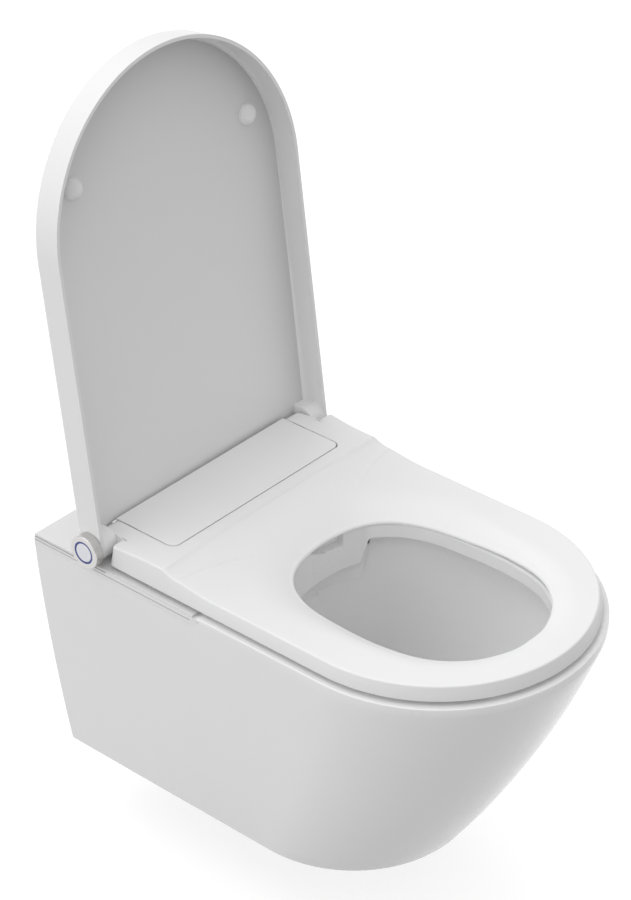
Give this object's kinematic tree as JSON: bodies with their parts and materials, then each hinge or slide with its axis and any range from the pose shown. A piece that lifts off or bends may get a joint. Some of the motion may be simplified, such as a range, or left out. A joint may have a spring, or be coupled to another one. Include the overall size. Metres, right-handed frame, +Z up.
{
  "type": "wall-hung bidet toilet",
  "caption": "Wall-hung ceramic toilet with a built-in wash unit: hinged cap lid and seat, side control knob, extending spray wand and a lift-off service cover.",
  "frame": {"origin": "midway between the two wall fixings, on the wall plane", "axes": "+X to the right of someone facing the toilet, +Y into the wall, +Z up"},
  "size_m": [0.3818, 0.5993, 0.8399],
  "materials": {
    "glazed_china": "glossy white glaze",
    "white_moulding": "smooth white thermoset moulding",
    "unit_moulding": "white moulded plastic",
    "chassis_moulding": "pale grey fibre-filled plastic",
    "soft_rubber": "pale grey soft rubber",
    "dark_rubber": "black sealing rubber",
    "satin_metal": "satin brushed metal",
    "steel": "ground stainless steel",
    "bush_plastic": "self-lubricating plastic",
    "light_guide": "blue lit ring",
    "push_face": "satin pale face",
    "wand_plastic": "white food-safe plastic",
    "brass": "turned brass",
    "black_plastic": "black moulded plastic",
    "circuit_board": "green laminate",
    "gear_plastic": "natural acetal"
  },
  "bodies": {
    "base": {"ceramic_pan": "glazed_china", "base_gasket": "dark_rubber", "base_plate": "chassis_moulding", "deck_cover": "unit_moulding", "base_screws": "steel", "wash_unit_housing": "unit_moulding", "hinge_pin_left": "steel", "hinge_pin_right": "steel", "soft_close_damper": "black_plastic", "knob_encoder": "black_plastic", "nozzle_shroud": "unit_moulding", "wand_guide": "chassis_moulding", "wand_motor": "black_plastic", "flow_heater": "chassis_moulding", "water_pump": "black_plastic", "inlet_valve": "black_plastic", "control_board": "circuit_board", "water_inlet": "brass", "power_gland": "black_plastic"},
    "lid": {"lid_shell": "white_moulding", "lid_hinge_blocks": "white_moulding", "lid_bushes": "bush_plastic", "lid_buffers": "soft_rubber"},
    "seat": {"seat_ring": "white_moulding", "seat_bushes": "bush_plastic", "seat_buffers": "soft_rubber"},
    "knob": {"knob_body": "satin_metal", "knob_light_ring": "light_guide"},
    "push_cap": {"knob_push_cap": "push_face"},
    "wand": {"spray_wand": "wand_plastic", "nozzle_tip": "wand_plastic"},
    "pinion": {"drive_pinion": "gear_plastic"},
    "cover": {"service_cover": "white_moulding"}
  },
  "joints": [
    {"name": "lid_hinge", "type": "hinge", "parent": "base", "child": "lid", "pos_m": [0, -0.0894, 0.1202], "axis": [-1, 0, 0], "range_deg": [-97.6, 0]},
    {"name": "seat_hinge", "type": "hinge", "parent": "base", "child": "seat", "pos_m": [0, -0.0894, 0.1202], "axis": [-1, 0, 0], "range_deg": [0, 95]},
    {"name": "knob_turn", "type": "hinge", "parent": "base", "child": "knob", "pos_m": [0, -0.0894, 0.1202], "axis": [-1, 0, 0], "continuous": true},
    {"name": "knob_push", "type": "slide", "parent": "knob", "child": "push_cap", "axis": [1, 0, 0], "range_m": [0, 0.0015], "stiffness_N_per_m": 600},
    {"name": "wand_slide", "type": "slide", "parent": "base", "child": "wand", "axis": [0, -0.9903, -0.1392], "range_m": [0, 0.095]},
    {"name": "pinion_spin", "type": "hinge", "parent": "base", "child": "pinion", "pos_m": [0, -0.20081, 0.0669], "axis": [1, 0, 0], "range_deg": [0, 778]},
    {"name": "cover_lift", "type": "slide", "parent": "base", "child": "cover", "axis": [0, 0, 1], "range_m": [0, 0.06]}
  ],
  "couplings": [
    {"joint": "pinion_spin", "follows": "wand_slide", "rad_per_m": 142.86}
  ]
}
